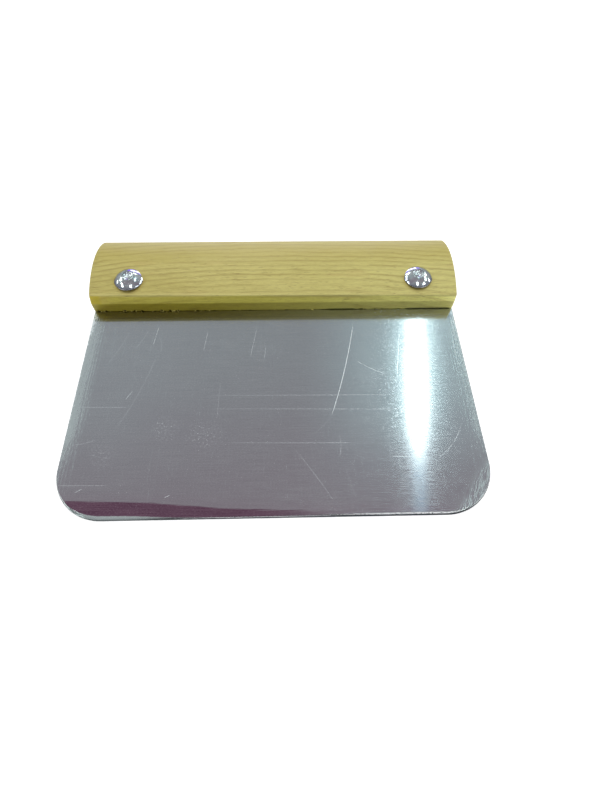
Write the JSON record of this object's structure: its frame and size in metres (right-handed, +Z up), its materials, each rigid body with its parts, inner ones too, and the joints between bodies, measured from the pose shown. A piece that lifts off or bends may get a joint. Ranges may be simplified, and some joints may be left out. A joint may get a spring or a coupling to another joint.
{
  "type": "bench scraper",
  "caption": "Bench scraper: a flat stainless blade with rounded lower corners, riveted into the sawn slot of a crowned wooden handle by pins with domed caps.",
  "frame": {"origin": "on the bench under the centre of the scraper's bounding box, with the scraper lying on the lower ends of its two rivets and on its cutting edge", "axes": "+X along the cutting edge towards the right end of the handle, +Y from the cutting edge towards the back of the handle, +Z up from the bench; the blade leans down towards its cutting edge by about 7.4 degrees"},
  "size_m": [0.1524, 0.119, 0.0252],
  "materials": {
    "handle_wood": "pale straight-grained wood under a thin satin varnish",
    "blade_steel": "finely brushed along the cutting edge, with light scratches from use",
    "rivet_chrome": "polished, with a small spun crater in the middle of each head"
  },
  "bodies": {
    "root": {"handle": "handle_wood", "blade": "blade_steel", "left_rivet_pin": "rivet_chrome", "left_top_cap": "rivet_chrome", "left_bottom_cap": "rivet_chrome", "right_rivet_pin": "rivet_chrome", "right_top_cap": "rivet_chrome", "right_bottom_cap": "rivet_chrome"}
  },
  "joints": []
}
